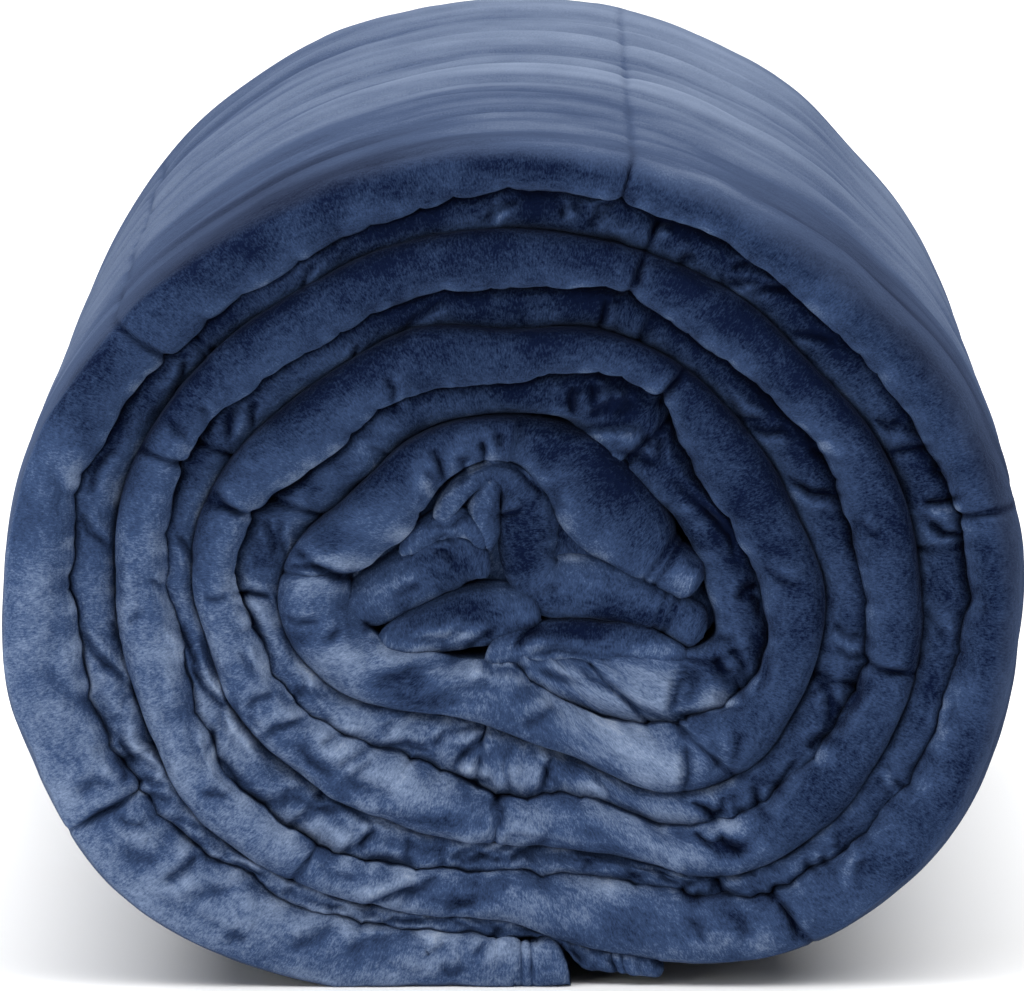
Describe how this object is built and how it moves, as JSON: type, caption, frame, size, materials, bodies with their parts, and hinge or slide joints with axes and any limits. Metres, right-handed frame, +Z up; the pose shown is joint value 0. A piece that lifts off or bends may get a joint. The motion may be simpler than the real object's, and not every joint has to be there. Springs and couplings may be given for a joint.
{
  "type": "rolled weighted blanket",
  "caption": "Plush quilted weighted blanket, folded in half and wound into a roll that lies on its side.",
  "frame": {"origin": "middle of the roll's plan, at the height of the flat spot it lies on", "axes": "+Z up, +Y along the roll from the folded edge that was pictured to the open hems, +X to the right as seen from the folded edge"},
  "size_m": [0.2614, 0.6096, 0.2183],
  "materials": {
    "blue_plush": "short napped plush"
  },
  "bodies": {
    "root": {"blanket_roll": "blue_plush"}
  },
  "joints": []
}
